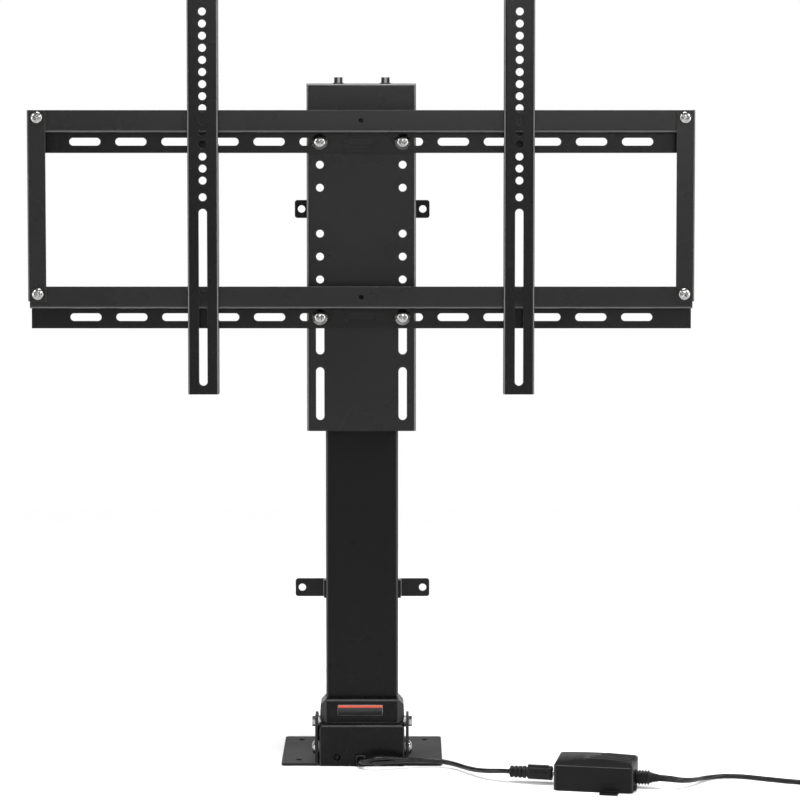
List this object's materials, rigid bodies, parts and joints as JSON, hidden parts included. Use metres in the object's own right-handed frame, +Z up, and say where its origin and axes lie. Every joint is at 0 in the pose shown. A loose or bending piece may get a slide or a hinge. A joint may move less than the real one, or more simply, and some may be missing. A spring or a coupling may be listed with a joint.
{
  "type": "tv lift mechanism",
  "caption": "Floor-mounted motorised column whose telescoping head carries a slotted rail frame with sliding screen arms, driven by a worm and screw, with a corded control box.",
  "frame": {"origin": "centre of the base plate's four floor holes, on the plate's underside", "axes": "+Z up along the lift, +X to the right seen from the screen side, -Y towards the screen"},
  "size_m": [0.9799, 0.2634, 0.8435],
  "materials": {
    "black_steel": "satin black powder coat",
    "grey_black_steel": "satin black powder coat",
    "zinc_steel": "bright zinc plate",
    "black_screw": "black oxide",
    "bearing_steel": "ground steel",
    "cast_alloy": "die-cast, matt",
    "bronze": "turned bronze",
    "motor_steel": "drawn steel",
    "laminations": "laminations and copper winding",
    "magnet": "ferrite",
    "cover_plastic": "fine grained black plastic",
    "glide_plastic": "natural acetal",
    "bush_plastic": "black acetal",
    "plate_label": "bare label plate with a plain orange band",
    "box_plastic": "fine grained black plastic",
    "circuit": "circuit board",
    "components": "board components",
    "cord_sheath": "black cord sheath",
    "relief_rubber": "moulded black rubber"
  },
  "bodies": {
    "base": {"base_plate": "black_steel", "cheek_bolts": "zinc_steel", "gearbox_lower": "cast_alloy", "gearbox_upper": "cast_alloy", "gearbox_screws": "zinc_steel", "bearing_outer_rings": "bearing_steel", "bearing_balls": "bearing_steel", "worm_bush": "bronze", "outer_column": "black_steel", "column_screws": "zinc_steel", "wall_ears": "black_steel", "guide_bush": "bush_plastic", "front_cover": "cover_plastic", "rear_cover": "cover_plastic", "cover_screws": "black_screw", "blank_label": "plate_label", "motor_flange": "motor_steel", "motor_screws": "zinc_steel", "motor_can": "motor_steel", "motor_end_cap": "bush_plastic", "motor_magnets": "magnet", "limit_strip": "circuit", "limit_switches": "bush_plastic", "lead_gland": "relief_rubber", "motor_lead": "cord_sheath", "lead_connector": "relief_rubber", "control_box_lower": "box_plastic", "control_box_upper": "box_plastic", "control_board": "circuit", "board_parts": "components", "box_screws": "zinc_steel", "lead_socket": "bush_plastic", "mains_relief": "relief_rubber", "mains_cord": "cord_sheath", "mains_coil": "cord_sheath", "coil_tie": "bush_plastic", "mains_plug": "relief_rubber"},
    "screw": {"lead_screw": "bearing_steel", "worm_wheel": "bronze", "bearing_inner_rings": "bearing_steel", "screw_stop_disc": "bush_plastic"},
    "rotor": {"motor_shaft": "bearing_steel", "motor_armature": "laminations", "worm": "bearing_steel"},
    "carriage": {"inner_column": "grey_black_steel", "inner_top_block": "cast_alloy", "drive_nut": "glide_plastic", "nut_screws": "zinc_steel", "glide_shoe": "glide_plastic", "head_plate": "grey_black_steel", "head_screws": "black_screw", "upper_rail": "black_steel", "lower_rail": "black_steel", "end_piece_left": "black_steel", "end_piece_right": "black_steel", "corner_screws": "zinc_steel", "rail_screws": "zinc_steel", "rail_nuts": "zinc_steel"},
    "left_arm": {"arm_left": "black_steel"},
    "right_arm": {"arm_right": "black_steel"}
  },
  "joints": [
    {"name": "lift_slide", "type": "slide", "parent": "base", "child": "carriage", "axis": [0, 0, 1], "range_m": [0, 0.5]},
    {"name": "screw_spin", "type": "hinge", "parent": "base", "child": "screw", "pos_m": [0, -0.022, 0.3], "axis": [0, 0, 1], "range_deg": [-11250, 0]},
    {"name": "rotor_spin", "type": "hinge", "parent": "base", "child": "rotor", "pos_m": [-0.0245, 0, 0.026], "axis": [0, 1, 0], "range_deg": [-225000, 0]},
    {"name": "left_arm_slide", "type": "slide", "parent": "carriage", "child": "left_arm", "axis": [1, 0, 0], "range_m": [-0.129, 0.071]},
    {"name": "right_arm_slide", "type": "slide", "parent": "carriage", "child": "right_arm", "axis": [1, 0, 0], "range_m": [-0.071, 0.129]}
  ],
  "couplings": [
    {"joint": "screw_spin", "follows": "lift_slide", "rad_per_m": -392.7},
    {"joint": "rotor_spin", "follows": "lift_slide", "rad_per_m": -7854}
  ]
}
